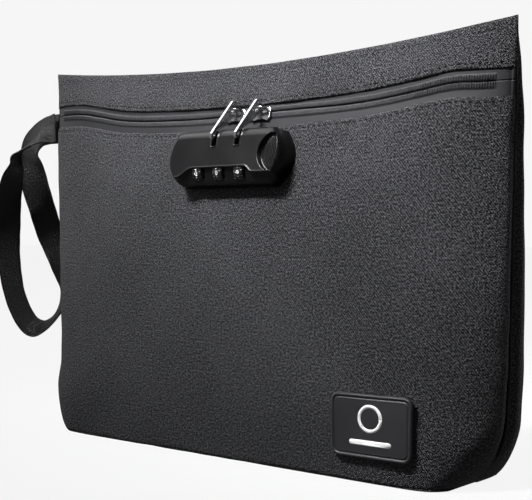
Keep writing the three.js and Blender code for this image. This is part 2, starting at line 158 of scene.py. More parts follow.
def shares(count, limit=1.0, power=1.8):
    """Shares of the width, closer together towards the side seams."""
    u = np.linspace(-1, 1, count)
    return np.sign(u) * (1 - (1 - np.abs(u)) ** power) * limit


def wrap_shares(h, side):
    """Shares of the width for each height, spaced so that the rounded sides get their own columns."""
    core, ends, power, turn = 60, 26, 1.7, 0.9
    power_here = squareness(np.asarray(h, float) / MM, side)
    start = math.sin(turn) ** (2 / power_here)
    flat = np.linspace(0, 1, core, endpoint=False)[:, None] * start[None, :]
    angle = turn + (math.pi / 2 - turn) * (1 - (1 - np.linspace(0, 1, ends)) ** power)
    rounded = np.sin(angle)[:, None] ** (2 / power_here[None, :])
    half = np.concatenate([flat, rounded])
    return np.concatenate([-half[:0:-1], half])


def arc_lengths(points):
    """Distance along each row of a grid, measured from its middle column."""
    steps = np.linalg.norm(np.diff(points, axis=0), axis=-1)
    run = np.concatenate([np.zeros((1, points.shape[1])), np.cumsum(steps, axis=0)])
    return run - run[points.shape[0] // 2]


def unit(rows):
    return rows / np.linalg.norm(rows, axis=1, keepdims=True)


def lengths(points):
    """Distance along a line of points, from its first."""
    return np.concatenate([[0], np.cumsum(np.linalg.norm(np.diff(points, axis=0), axis=1))])


def normals(points):
    """Unit normals of a grid of points, (columns, rows, 3)."""
    across = np.gradient(points, axis=0)
    up = np.gradient(points, axis=1)
    n = np.cross(across, up)
    return n / np.maximum(np.linalg.norm(n, axis=-1, keepdims=True), 1e-12)


def fabric_noise(x, z, seed, scale):
    """Soft undulation from a few summed waves, about -1 to 1."""
    draw = np.random.default_rng(seed)
    total = np.zeros(np.broadcast(x, z).shape)
    for _ in range(7):
        angle = draw.uniform(0, math.pi)
        phase = draw.uniform(0, TURN)
        k = draw.uniform(0.6, 1.6)
        total = total + np.sin((x * math.cos(angle) + z * math.sin(angle)) * k * TURN / scale + phase)
    return total / 4


# ---- mesh making ----
def add_object(name, data):
    obj = bpy.data.objects.new(name, data)
    bpy.context.scene.collection.objects.link(obj)
    return obj


def new_object(name, vertices, faces, uvs=None, smooth_shade=True, closed=True):
    """A mesh object from points and faces, which are turned outwards where it is closed."""
    mesh = bpy.data.meshes.new(name)
    mesh.from_pydata([tuple(v) for v in vertices], [], [tuple(int(i) for i in f) for f in faces])
    mesh.update()
    if uvs is not None:
        layer = mesh.uv_layers.new(name="cloth")
        index = np.empty(len(mesh.loops), np.int32)
        mesh.loops.foreach_get("vertex_index", index)
        layer.data.foreach_set("uv", np.asarray(uvs, np.float32)[index].ravel())
    if smooth_shade:
        mesh.polygons.foreach_set("use_smooth", [True] * len(mesh.polygons))
    obj = add_object(name, mesh)
    if closed:
        fix_normals(obj)
    return obj


def slab(name, outer, inner, uv=None):
    """A closed slab between two grids of points, (columns, rows, 3)."""
    columns, rows = outer.shape[:2]
    count = columns * rows
    grid = np.arange(count).reshape(columns, rows)
    quads = np.stack([grid[:-1, :-1], grid[1:, :-1], grid[1:, 1:], grid[:-1, 1:]], -1).reshape(-1, 4)
    faces = [quads, quads[:, ::-1] + count]
    ring = np.concatenate([grid[:-1, 0], grid[-1, :-1], grid[:0:-1, -1], grid[0, :0:-1]])
    ahead = np.roll(ring, -1)
    faces.append(np.stack([ahead, ring, ring + count, ahead + count], -1))
    vertices = np.concatenate([outer.reshape(-1, 3), inner.reshape(-1, 3)])
    uvs = None if uv is None else np.concatenate([uv.reshape(-1, 2)] * 2)
    return new_object(name, vertices, np.concatenate(faces), uvs)


def fix_normals(obj):
    bm = bmesh.new()
    bm.from_mesh(obj.data)
    bmesh.ops.recalc_face_normals(bm, faces=bm.faces)
    bm.to_mesh(obj.data)
    bm.free()


def join(near, far, sides):
    """Quads between two rings of vertices, from the number of the first vertex of each."""
    return [(near + k, near + (k + 1) % sides, far + (k + 1) % sides, far + k) for k in range(sides)]


def join_rings(count, sides, start=0):
    """Quads along a row of rings."""
    faces = []
    for i in range(start, start + (count - 1) * sides, sides):
        faces += join(i, i + sides, sides)
    return faces


def end_caps(count, sides, start=0):
    """The two faces that close a row of rings."""
    last = start + (count - 1) * sides
    return [tuple(range(start + sides - 1, start - 1, -1)), tuple(range(last, last + sides))]


def finish_piece(obj, body, surface_material, slot, *nodes):
    """Material and body of a piece, and the CAD nodes it stands in for. The slot is not used."""
    obj.data.materials.clear()
    obj.data.materials.append(surface_material)
    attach(obj, body)
    if nodes:
        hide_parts(*nodes)


# ---- materials ----
def put(made, **values):
    """Set a node's inputs by name, with _ for a space."""
    for key, value in values.items():
        made.inputs[key.replace("_", " ")].default_value = value


def material(name, color, roughness, metallic=0.0):
    mat = bpy.data.materials.new(name)
    mat.use_nodes = True
    shader = mat.node_tree.nodes["Principled BSDF"]
    put(shader, Base_Color=(*color, 1), Roughness=roughness, Metallic=metallic)
    return mat, mat.node_tree, shader


def link(tree, source, target):
    tree.links.new(source, target)


def node(tree, kind, **settings):
    made = tree.nodes.new(kind)
    for key, value in settings.items():
        setattr(made, key, value)
    return made


def math_node(tree, operation, a, b=None):
    made = node(tree, "ShaderNodeMath", operation=operation)
    for i, value in enumerate((a, b)):
        if value is None:
            continue
        if isinstance(value, (int, float)):
            made.inputs[i].default_value = value
        else:
            link(tree, value, made.inputs[i])
    return made.outputs[0]


def times(tree, a, b):
    return math_node(tree, "MULTIPLY", a, b)


def plus(tree, a, b):
    return math_node(tree, "ADD", a, b)


def ramp(tree, source, stops):
    made = node(tree, "ShaderNodeValToRGB")
    link(tree, source, made.inputs[0])
    elements = made.color_ramp.elements
    while len(elements) < len(stops):
        elements.new(0.5)
    for element, (position, color) in zip(elements, stops):
        element.position = position
        element.color = (*color, 1)
    return made.outputs[0]


def object_place(tree):
    return node(tree, "ShaderNodeTexCoord").outputs["Object"]


def noise(tree, vector, scale, detail=3.0):
    made = node(tree, "ShaderNodeTexNoise")
    put(made, Scale=scale, Detail=detail)
    link(tree, vector, made.inputs["Vector"])
    return made.outputs["Fac"]


def bump(tree, shader, height, strength, distance):
    made = node(tree, "ShaderNodeBump")
    put(made, Strength=strength, Distance=distance)
    link(tree, height, made.inputs["Height"])
    link(tree, made.outputs["Normal"], shader.inputs["Normal"])


def sine_wave(tree, along, pitch):
    return math_node(tree, "SINE", times(tree, along, TURN / pitch))


def woven(name, dark, light, pitch, roughness, sheen, angle=0.8, strength=0.5, use_uv=True):
    """Twill: crossing yarns whose floats step along a diagonal, with slubs and broad tonal drift."""
    mat, tree, shader = material(name, light, roughness)
    put(shader, Sheen_Weight=sheen, Sheen_Roughness=0.5, Specular_IOR_Level=0.25)
    coords = node(tree, "ShaderNodeTexCoord")
    place = coords.outputs["UV" if use_uv else "Object"]
    split = node(tree, "ShaderNodeSeparateXYZ")
    link(tree, place, split.inputs[0])
    u = split.outputs[0]
    v = split.outputs[1 if use_uv else 2]
    wobble = times(tree, noise(tree, place, 60.0, 2.0), pitch * 1.2)
    diagonal = plus(tree, plus(tree, u, times(tree, v, angle)), wobble)
    ridge = sine_wave(tree, diagonal, pitch)
    weft = sine_wave(tree, v, pitch * 0.62)
    ends = sine_wave(tree, u, pitch * 0.62)
    grain = times(tree, weft, ends)
    slub = noise(tree, place, 900.0, 3.0)
    both = plus(tree, times(tree, ridge, 0.6), times(tree, grain, 0.5))
    flecks = times(tree, math_node(tree, "SUBTRACT", slub, 0.5), 9.0)
    height = plus(tree, both, flecks)
    shade = plus(tree, times(tree, height, 0.27), 0.34)
    drift = times(tree, math_node(tree, "SUBTRACT", noise(tree, place, 14.0, 3.0), 0.5), 0.4)
    color = ramp(tree, plus(tree, shade, drift), [(0.1, dark), (0.9, light)])
    link(tree, color, shader.inputs["Base Color"])
    bump(tree, shader, height, strength, 0.00025)
    return mat


def plastic(name, color, roughness, grain_scale=900.0, strength=0.08):
    """Moulded plastic: a fine spark-eroded grain and faint handling marks in the gloss."""
    mat, tree, shader = material(name, color, roughness)
    place = object_place(tree)
    fine = noise(tree, place, grain_scale, 2.0)
    broad = noise(tree, place, 70.0, 4.0)
    gloss = plus(tree, times(tree, broad, 0.16), roughness - 0.08)
    link(tree, gloss, shader.inputs["Roughness"])
    darker = tuple(c * 0.85 for c in color)
    lighter = tuple(min(1, c * 1.2) for c in color)
    tint = ramp(tree, broad, [(0.3, darker), (0.7, lighter)])
    link(tree, tint, shader.inputs["Base Color"])
    bump(tree, shader, fine, strength, 0.0001)
    return mat


def metal(name, color, roughness):
    """Plated or polished metal with fine scratches along one way."""
    mat, tree, shader = material(name, color, roughness, 1.0)
    stretch = node(tree, "ShaderNodeMapping")
    put(stretch, Scale=(300, 1800, 1800))
    link(tree, object_place(tree), stretch.inputs["Vector"])
    lines = noise(tree, stretch.outputs[0], 1.0, 3.0)
    gloss = plus(tree, times(tree, lines, 0.12), roughness)
    link(tree, gloss, shader.inputs["Roughness"])
    tint = ramp(tree, lines, [(0.25, tuple(c * 0.88 for c in color)), (0.75, color)])
    link(tree, tint, shader.inputs["Base Color"])
    bump(tree, shader, lines, 0.05, 0.0001)
    return mat


OXFORD = woven("oxford_twill", (0.0015, 0.0015, 0.0017), (0.09, 0.09, 0.1), 1.35 * MM, 0.85, 0.03,
               strength=0.8)
LINING = woven("lining_plain", (0.008, 0.008, 0.009), (0.03, 0.03, 0.033), 0.5 * MM, 0.7, 0.1, use_uv=False)
WEBBING = woven("webbing_weave", (0.001, 0.001, 0.0012), (0.012, 0.012, 0.013), 1.1 * MM, 0.42, 0.05,
                angle=1.4)
THREAD = woven("sewing_thread", (0.001, 0.001, 0.001), (0.007, 0.007, 0.0075), 0.35 * MM, 0.7, 0.0,
               use_uv=False)
TAPE = plastic("coated_tape", (0.011, 0.011, 0.013), 0.5, 500.0, 0.15)
COIL = plastic("nylon_coil", (0.015, 0.015, 0.017), 0.45)
ABS = plastic("moulded_abs", (0.0035, 0.0035, 0.004), 0.3, 700.0, 0.12)
NYLON = plastic("moulded_nylon", (0.02, 0.02, 0.022), 0.45)
DIAL = plastic("dial_plastic", (0.012, 0.012, 0.013), 0.3)
RUBBER = plastic("moulded_rubber", (0.016, 0.016, 0.018), 0.5, 1100.0, 0.15)
WHITE = plastic("white_rubber", (0.8, 0.8, 0.79), 0.5)
BOARD = plastic("stiffener_board", (0.03, 0.03, 0.03), 0.7)
CHROME = metal("polished_nickel", (0.62, 0.62, 0.63), 0.14)
STEEL = metal("zinc_steel", (0.45, 0.45, 0.46), 0.3)

# The tape and the lock mirror less than plain plastic.
for dull, level in ((TAPE, 0.2), (ABS, 0.3)):
    put(dull.node_tree.nodes["Principled BSDF"], Specular_IOR_Level=level)

# CAD nodes that keep their shape take the material of their slot.
SLOT_MATERIALS = {"oxford": OXFORD, "lining": LINING, "board": BOARD, "coated_tape": TAPE, "coil": COIL,
                  "webbing": WEBBING, "patch_rubber": RUBBER, "emblem": WHITE, "abs": ABS, "nylon": NYLON,
                  "dial": DIAL, "chrome": CHROME, "steel": STEEL}
for part in frame["record"]["subparts"]:
    mesh = frame["nodes"][part["node"]].data
    mesh.materials.clear()
    mesh.materials.append(SLOT_MATERIALS[part["material_slot"]])


# ---- shell panels ----
def front_relief(h, s):
    """Shallow waves, ripples at the base and one pulled fold below the right end of the zipper."""
    x = s * half_width(h)
    relief = 0.55 * MM * fabric_noise(x, h * 0.8, 11, 0.11) + 0.22 * MM * fabric_noise(x * 1.6, h, 12, 0.03)
    low = np.exp(-h / (16 * MM))
    relief = relief * (1 - 0.6 * low) + 0.5 * MM * low * np.sin(x / (13 * MM) + 0.8)
    corner = np.exp(-((s - 0.93) / 0.08) ** 2 - ((h - 168 * MM) / (22 * MM)) ** 2)
    return relief - 0.9 * MM * corner


def band_pucker(h, s, edge):
    """The small gathers that a stitch row leaves beside a folded hem."""
    x = s * half_width(h)
    near = bell(np.abs(h - edge), 7 * MM)
    return 0.22 * MM * near * np.sin(x / (4.2 * MM) + 2.5 * fabric_noise(x, h * 0, 17, 0.06))


def panel_grid(heights, side, relief):
    """Points, outward normals and cloth coordinates of a panel."""
    h = np.asarray(heights, float)[None, :]
    s = wrap_shares(heights, side)
    ground = surface(warp(h, s) if side < 0 else h, s, side)
    out = normals(ground) * (1 if side < 0 else -1)
    along = arc_lengths(ground)
    seam = smooth(0, 4 * MM, along[-1][None, :] - np.abs(along))
    points = ground + out * (relief(h, s) * seam)[..., None]
    uv = np.stack([along, h + 0 * s], -1)
    return points, out, uv


def hem(h, s, edge, below, lift):
    """Extra thickness of the folded edge by the zipper, none at the seams."""
    inside = (edge - h) if below else (h - edge)
    fold = 1 - smooth(5 * MM, 22 * MM, inside)
    rounding = rounded_step(inside, 1.1 * MM)
    return (lift * fold * rounding - 0.5 * MM * (1 - rounding)) * (1 - smooth(0.86, 0.97, np.abs(s)))


def top_fold(h):
    """How far the cloth drops back where it folds over at the top edge."""
    return FOLD_DROP * (1 - rounded_step(HEIGHT - h, FOLD_RADIUS))


def heights_between(low, high, step, edge_low=False, edge_high=False):
    """Rows of a panel, closer at a folded edge."""
    rows = list(np.arange(low, high, step)) + [high]
    fine = [0.15 * MM, 0.35 * MM, 0.7 * MM, 1.1 * MM, 1.6 * MM]
    if edge_low:
        rows += [low + f for f in fine]
    if edge_high:
        rows += [high - f for f in fine] + [high - 8 * MM, high - 8.5 * MM, high - 9 * MM]
    return np.array(sorted(set(np.round(rows, 7))))


def shell_panel(name, heights, side, relief, thickness, node_name):
    """A cloth panel of the shell, thinner where the front and back close on each other."""
    outer, out, uv = panel_grid(heights, side, relief)
    toward = outer.copy()
    toward[..., 1] = -TOP_LEAN * toward[..., 2] / HEIGHT
    reach = np.minimum(thickness, 0.45 * np.abs(outer[..., 1] - toward[..., 1]))
    inner = outer - out * np.maximum(reach, 0.05 * MM)[..., None]
    piece = slab(name, outer, inner, uv)
    finish_piece(piece, "bag", OXFORD, "oxford", node_name)


def lower_front_relief(h, s):
    opening = hem(h, s, BAND_LOW, True, 0.55 * MM)
    return front_relief(h, s) + opening + band_pucker(h, s, BAND_LOW - 5 * MM)


def header_relief(h, s):
    opening = hem(h, s, BAND_HIGH, False, 0.6 * MM)
    waves = 0.3 * MM * fabric_noise(s * TOP_HALF, h, 19, 0.05)
    return opening + band_pucker(h, s, BAND_HIGH + 5 * MM) + waves - top_fold(h)


def back_relief(h, s):
    x = s * half_width(h)
    broad = 0.6 * MM * fabric_noise(x, h, 23, 0.12) + 0.2 * MM * fabric_noise(x, h, 24, 0.035)
    return broad * smooth(0, 12, h / MM) - top_fold(h)


FRONT_ROWS = heights_between(1.0 * MM, BAND_LOW, 1.6 * MM, edge_high=True)
HEADER_ROWS = heights_between(BAND_HIGH, HEIGHT - 0.2 * MM, 1.2 * MM, edge_low=True)
BACK_ROWS = heights_between(1.0 * MM, HEIGHT - 0.2 * MM, 2.0 * MM)
shell_panel("bag_front", FRONT_ROWS, -1, lower_front_relief, FABRIC, "front_panel")
shell_panel("bag_header", HEADER_ROWS, -1, header_relief, 0.9 * MM, "header_panel")
shell_panel("bag_back", BACK_ROWS, 1, back_relief, FABRIC, "back_panel")


def base_piece():
    """The flat base panel, tucked inside the lower edge of the shell."""
    s = shares(121, 0.985)
    across = np.linspace(-1, 1, 41)
    front = surface(1.2 * MM, s, -1, 0.6 * MM)
    rear = surface(1.2 * MM, s, 1, 0.6 * MM)
    mix = (across[None, :, None] + 1) / 2
    low = front[:, None] * (1 - mix) + rear[:, None] * mix
    low[..., 2] = 0.25 * MM + 0.2 * MM * fabric_noise(low[..., 0], low[..., 1], 31, 0.05) ** 2
    high = low.copy()
    high[..., 2] = 1.1 * MM
    piece = slab("bag_base", low, high, low[..., :2])
    finish_piece(piece, "bag", OXFORD, "oxford", "bottom_panel")


base_piece()


# ---- stitches ----
THREAD_PITCH = 3.6 * MM
STITCH_LENGTH = 2.4 * MM
STITCH_SINK = 0.05 * MM
# Rings along a stitch: share of its length, share of its radius.
STITCH_PROFILE = [(-0.5, 0.25), (-0.4, 0.8), (-0.15, 1.0), (0.15, 1.0), (0.4, 0.8), (0.5, 0.25)]


def interpolate(at, along, rows):
    """The row of three values at a length along a line."""
    return np.array([np.interp(at, along, rows[:, i]) for i in range(3)])


def stitch_row(name, centres, outs, radius):
    """A row of short rounded stitches along a line of points with outward normals."""
    centres, outs = np.asarray(centres, float), np.asarray(outs, float)
    along = lengths(centres)
    count = int(along[-1] / THREAD_PITCH)
    vertices, faces = [], []
    ring = 6
    for k in range(count):
        middle = (k + 0.5) * along[-1] / count
        place = interpolate(middle, along, centres)
        out = interpolate(middle, along, outs)
        out /= np.linalg.norm(out)
        before, after = middle - 0.5 * MM, middle + 0.5 * MM
        ahead = interpolate(after, along, centres) - interpolate(before, along, centres)
        ahead /= max(np.linalg.norm(ahead), 1e-9)
        side = np.cross(out, ahead)
        start = len(vertices)
        for at, swell in STITCH_PROFILE:
            dip = STITCH_SINK + 1.1 * radius * (abs(at) * 2) ** 4
            centre = place + ahead * at * STITCH_LENGTH - out * dip
            for j in range(ring):
                a = TURN * j / ring
                vertices.append(centre + (side * math.cos(a) + out * math.sin(a)) * radius * swell)
        faces += join_rings(len(STITCH_PROFILE), ring, start) + end_caps(len(STITCH_PROFILE), ring, start)
    finish_piece(new_object(name, vertices, faces), "bag", THREAD, "oxford")


def surface_line(h, s_values, relief, side):
    """Points and outward normals of a line across the shell at height h."""
    heights = np.array([h - 0.5 * MM, h, h + 0.5 * MM])
    s_column = np.asarray(s_values)[:, None]
    grid = surface(warp(heights[None, :], s_column) if side < 0 else heights[None, :], s_column, side)
    out = normals(grid) * (1 if side < 0 else -1)
    lift = relief(heights[None, :] + 0 * grid[..., 0], s_column + 0 * grid[..., 0])
    points = grid + out * lift[..., None]
    return points[:, 1], out[:, 1]


band_line = np.linspace(-0.965, 0.965, 400)
for row_name, row_height, row_relief, row_side, thread in (
        ("stitches_below_zipper", BAND_LOW - 2.4 * MM, lower_front_relief, -1, 0.45 * MM),
        ("stitches_above_zipper", BAND_HIGH + 2.9 * MM, header_relief, -1, 0.45 * MM),
        ("stitches_top_front", HEIGHT - 4.5 * MM, header_relief, -1, 0.26 * MM),
        ("stitches_top_back", HEIGHT - 4.5 * MM, back_relief, 1, 0.26 * MM)):
    stitch_row(row_name, *surface_line(row_height, band_line, row_relief, row_side), thread)


# ---- zipper ----
TAPE_SINK = 0.8 * MM
RIB_PITCH = 1.35 * MM
RIB_LENGTH = 2.8 * MM
RIB_FADE = 0.25 * MM
SLIT_HALF = 0.16 * MM
COIL_GAP = 0.5 * MM


def zipper_half(name, low, high, rib_low, rib_high, node_name):
    """One zipper tape, whose inner edge shows the ribs of the coil behind it."""
    turn = np.linspace(-0.95, 0.95, 1100) * math.pi / 2
    s = np.sin(turn)[:, None] / math.sin(0.95 * math.pi / 2) * 0.9985
    h = np.linspace(low, high, 24)[None, :]
    shift = 1.6 * MM * bell(s - 0.15, 0.25) * (1 - np.abs(h - COIL_LINE) / (10.5 * MM))
    ground = surface(warp(h, s) + shift, s, -1)
    out = normals(ground)
    x = s * half_width(h)
    on_rib = smooth(rib_low - RIB_FADE, rib_low + RIB_FADE, h)
    on_rib = on_rib * (1 - smooth(rib_high - RIB_FADE, rib_high + RIB_FADE, h))
    ends = 1 - smooth(0.925, 0.94, np.abs(s) + 0 * h)
    wave = 1 - (0.5 - 0.5 * np.cos(TURN * x / RIB_PITCH)) ** 2.5
    lift = on_rib * ends * (0.1 + 0.6 * wave) * MM - TAPE_SINK * (1 - smooth(0.985, 0.998, np.abs(s) + 0 * h))
    outer = ground + out * lift[..., None]
    inner = outer - out * 0.35 * MM
    uv = np.stack(np.broadcast_arrays(x, h), -1)
    piece = slab(name, outer, inner, uv)
    finish_piece(piece, "bag", TAPE, "coated_tape", node_name)


zipper_half("zipper_lower", BAND_LOW - 4 * MM, COIL_LINE - SLIT_HALF, COIL_LINE - COIL_GAP - RIB_LENGTH,
            COIL_LINE - COIL_GAP, "zipper_tape_lower")
zipper_half("zipper_upper", COIL_LINE + SLIT_HALF, BAND_HIGH + 4 * MM, COIL_LINE + COIL_GAP,
            COIL_LINE + COIL_GAP + RIB_LENGTH, "zipper_tape_upper")


# ---- wrist strap ----
# Centre line of the loop in mm, front strand first, and which way the webbing's edge points at each place.
# A scratch program worked these out from places picked on the photo: see "Departures" in report.md.
STRAP_ROUTE = [(-166.5, -10.6, 190), (-175, -11, 189), (-183, -12, 185), (-194, -12, 179), (-206, -11, 173),
               (-213, -9, 160), (-220, -7, 144), (-226, -3, 126), (-229, 0, 105), (-229, 4, 83),
               (-227, 8, 69), (-223, 12, 59), (-217, 15, 55), (-211, 18, 57), (-205, 21, 63),
               (-198, 22, 74), (-193, 21, 88), (-197, 19, 106), (-205, 16, 123), (-211, 14, 140),
               (-214, 10, 157), (-215, 8, 172), (-207, 3, 182), (-189, -2, 189), (-166.5, -6.6, 190)]
STRAP_EDGE = [(0, 0, 1), (-0.15, 0.34, 0.93), (-0.29, 0.69, 0.66), (-0.45, 0.85, 0.28), (-0.68, 0.73, 0),
              (-0.07, 0.99, 0.1), (0.17, 0.99, 0.04), (0.2, 0.98, 0), (0.02, 1, 0), (-0.1, 0.99, 0.12),
              (-0.14, 0.92, 0.36), (-0.24, 0.84, 0.48), (-0.35, 0.78, 0.52), (-0.58, 0.73, 0.36),
              (-0.72, 0.67, 0.2), (-0.87, 0.49, 0.1), (-0.99, 0.01, -0.15), (-0.85, -0.43, -0.3),
              (-0.82, -0.47, -0.33), (-0.82, -0.5, -0.28), (-0.83, -0.52, -0.2), (-0.98, -0.15, 0.1),
              (-0.79, 0.09, 0.6), (-0.4, 0.17, 0.9), (0, 0, 1)]
STRAP_HALF = 9.5 * MM


def spline(points, count):
    """Evenly sampled smooth curve through points."""
    p = np.asarray(points, float)
    at = np.linspace(0, len(p) - 1, count)
    stations = np.arange(len(p))
    return np.stack([through(list(zip(stations, p[:, i])), at) for i in range(p.shape[1])], -1)


def strap():
    """Flat webbing with raised selvedges, turning on itself round the loop."""
    count = 420
    centre = spline(STRAP_ROUTE, count) * MM
    edge = spline(STRAP_EDGE, count)
    ahead = unit(np.gradient(centre, axis=0))
    edge = unit(edge - ahead * (edge * ahead).sum(1, keepdims=True))
    normal = np.cross(edge, ahead)
    along = lengths(centre)
    across = shares(33, 1.0, 1.5) * STRAP_HALF
    share = np.abs(across) / STRAP_HALF
    profile = 0.42 * MM + 0.28 * MM * smooth(0.8, 0.9, share) - 0.5 * MM * smooth(0.95, 1.0, share)
    ripple = 0.04 * MM * np.cos(TURN * across / (1.9 * MM))
    half = (profile + ripple)[None, :, None]
    wander = 1 + 0.012 * np.sin(along / (9 * MM)) + 0.008 * np.sin(along / (2.1 * MM))
    middle = centre[:, None] + edge[:, None] * across[None, :, None] * wander[:, None, None]
    uv = np.stack(np.broadcast_arrays(along[:, None], across[None, :]), -1)
    piece = slab("strap_webbing", middle + normal[:, None] * half, middle - normal[:, None] * half, uv)
    finish_piece(piece, "bag", WEBBING, "webbing", "wrist_strap")


strap()


# ---- seam bindings ----
def binding(side_x, name, node_name):
    """Folded tape sewn along the side seam, between the front and back of the shell."""
    h = np.linspace(6 * MM, 205 * MM, 160)
    spine = surface(h, side_x * 0.999, -1)
    spine[:, 1] = (spine[:, 1] + surface(h, side_x * 0.999, 1)[:, 1]) / 2
    ring = 12
    vertices = []
    for k, point in enumerate(spine):
        wave = 0.25 * MM * math.sin(h[k] / (7 * MM)) + 0.12 * MM * math.sin(h[k] / (2.3 * MM))
        for j in range(ring):
            a = TURN * j / ring
            out = side_x * (1.1 * MM * math.cos(a) - 0.7 * MM)
            vertices.append(point + np.array([out, 0.75 * MM * math.sin(a) + wave, 0]))
    caps = [cap[::-1] for cap in end_caps(len(spine), ring)]
    piece = new_object(name, vertices, join_rings(len(spine), ring) + caps)
    finish_piece(piece, "bag", WEBBING, "webbing", node_name)


binding(-1, "binding_left", "seam_binding_left")
binding(1, "binding_right", "seam_binding_right")


# ---- rubber patch ----
PATCH_CENTRE = (100.6 * MM, 28.9 * MM)
PATCH_TILT = 0.045
# The share of the cloth's bow that the patch keeps, and the plane it leans to.
PATCH_BOW = 0.35
PATCH_PLANE = -37.0 * MM


def patch_points(x, z, lift):
    """Points of the patch, laid on the front panel: x and z in its own plane, lift out from the cloth."""
    x, z, lift = np.broadcast_arrays(x, z, lift)
    px = PATCH_CENTRE[0] + x
    pz = PATCH_CENTRE[1] + z
    s = px / half_width(pz)
    ground = surface(pz, s, -1)
    ground[..., 0] = px
    flat_y = ground[..., 1] * PATCH_BOW + PATCH_PLANE * (1 - PATCH_BOW)
    turn_x = math.sin(PATCH_TILT)
    return np.stack([px + lift * turn_x, flat_y + (px - PATCH_CENTRE[0]) * 0.02 - lift, ground[..., 2]], -1)


def rounded_box(x, z, half_x, half_z, radius):
    """Signed distance inside a rounded rectangle, positive inside."""
    qx = np.abs(x) - half_x + radius
    qz = np.abs(z) - half_z + radius
    return radius - corner_distance(qx, qz)


def patch():
    """The rubber patch: a raised rounded plate with a groove inside its rim."""
    half_x, half_z, corner = 23 * MM, 16 * MM, 4.8 * MM
    u = np.linspace(-1, 1, 150)[:, None]
    v = np.linspace(-1, 1, 110)[None, :]
    into_corner = np.clip((np.abs(v) * half_z - half_z + corner) / corner, 0, 1)
    pull = corner * (1 - np.sqrt(np.clip(1 - into_corner ** 2, 0, 1)))
    x = u * (half_x - pull)
    z = v * half_z + 0 * u
    inside = rounded_box(x, z, half_x, half_z, corner)
    lift = 1.9 * MM - 1.3 * MM * (1 - rounded_step(inside, 1.0 * MM))
    lift = lift - 0.75 * MM * bell(inside - 2.1 * MM, 0.5 * MM)
    lift = lift - 0.3 * MM * smooth(2.6 * MM, 3.2 * MM, inside)
    outer = patch_points(x, z, lift)
    inner = patch_points(x, z, -0.3 * MM)
    finish_piece(slab("rubber_patch", outer, inner), "bag", RUBBER, "patch_rubber", "patch_base")


def emblem_piece(name, outline, node_name, hole=None):
    """A flat raised mark in white rubber, as a strip between an outer and an inner outline."""
    outline = np.asarray(outline) * MM
    inner_line = np.asarray(hole) * MM if hole is not None else outline * 0 + outline.mean(0)
    mix = np.linspace(0, 1, 4)[:, None, None]
    flat = outline[None] * (1 - mix) + inner_line[None] * mix
    closed = np.concatenate([flat, flat[:, :1]], 1)
    edge = np.array([0.0, 1.0, 1.0, 0.0 if hole is not None else 1.0])[:, None]
    lift = 1.62 * MM + 0.35 * MM * edge
    top_side = patch_points(closed[..., 0], closed[..., 1], lift)
    under = patch_points(closed[..., 0], closed[..., 1], 1.35 * MM)
    piece = slab(name, top_side, under)
    piece.data.validate()
    finish_piece(piece, "bag", WHITE, "emblem", node_name)


def circle(radius, x, z, count=48):
    return [(x + radius * math.cos(a), z + radius * math.sin(a))
            for a in np.linspace(0, TURN, count, endpoint=False)]


def pill(half, radius, z):
    """A bar with round ends, centred on x = 0."""
    right = [(half + radius * math.cos(a), z + radius * math.sin(a))
             for a in np.linspace(-math.pi / 2, math.pi / 2, 16)]
    return right + [(-x, z * 2 - y) for x, y in right]


patch()
emblem_piece("emblem_ring", circle(7, 0, 4), "patch_emblem", circle(5.2, 0, 4))
emblem_piece("emblem_bar", pill(10.7, 1.3, -8), "patch_bar")


# ---- lining and zipper coils ----
LINING_INSET = 1.7 * MM


def lining(name, side, upper_edge, node_name):
    """Thin plain-weave lining hanging just inside the shell."""
    h = np.linspace(4 * MM, upper_edge, 60)
    s = shares(70, 0.97, 1.4)[:, None]
    inset = LINING_INSET + 0.3 * MM * (1 + fabric_noise(s * TOP_HALF, h[None, :], 31, 0.03))
    outer = surface(h[None, :], s, side, inset)
    inner = outer.copy()
    inner[..., 1] -= side * 0.35 * MM
    finish_piece(slab(name, outer, inner), "bag", LINING, "lining", node_name)


lining("lining_sheet_front", -1, 180 * MM, "lining_front")
lining("lining_sheet_back", 1, 216 * MM, "lining_back")


def tube(name, points, radius, sides=6):
    """A round tube swept along points."""
    ahead = unit(np.gradient(points, axis=0))
    first = np.cross(ahead, [0.0, 0.0, 1.0])
    weak = np.linalg.norm(first, axis=1) < 0.2
    first[weak] = np.cross(ahead[weak], [1.0, 0.0, 0.0])
    first = unit(first)
    second = np.cross(ahead, first)
    angle = np.linspace(0, TURN, sides, endpoint=False)[None, :, None]
    rings = points[:, None] + radius * (first[:, None] * np.cos(angle) + second[:, None] * np.sin(angle))
    faces = join_rings(len(points), sides) + end_caps(len(points), sides)
    return new_object(name, rings.reshape(-1, 3), faces)


def coil(name, direction, node_name):
    """The nylon coil behind one tape edge."""
    reach = 0.93
    turns = round(2 * half_width(COIL_LINE) * reach / RIB_PITCH)
    t = np.linspace(0, 1, turns * 10)
    s = reach * (2 * t - 1)
    angle = TURN * turns * t
    h = COIL_LINE + direction * (1.9 + 1.3 * np.cos(angle)) * MM
    points = surface(warp(h, s), s, -1)
    points[:, 1] += (2.3 + 0.7 * np.sin(angle)) * MM
    finish_piece(tube(name, points, 0.3 * MM), "bag", COIL, "coil", node_name)


coil("coil_lower", -1, "zipper_coil_lower")
coil("coil_upper", 1, "zipper_coil_upper")


# ---- sliders and pull tabs ----
# The tabs turn on HINGE, at the crown of each slider's hoop.
HINGE = Vector((0, -22.477, 190.376)) * MM
SLIDER_TILT = 0.33
CROWN_OUT = 6.2 * MM
CROWN_UP = 2.0 * MM
TAB_ANGLE = math.radians(43)
TAB_OUTLINE = [(-2.6, -3.4), (-4.6, -1.6), (-5.0, 0.6), (-4.0, 2.6), (18.4, 2.6), (21.6, 2.4), (23.4, 1.4),
               (23.8, 0), (23.0, -1.1), (20.9, -1.2), (18.9, 0.2), (14.4, -0.6), (8, -3.4)]


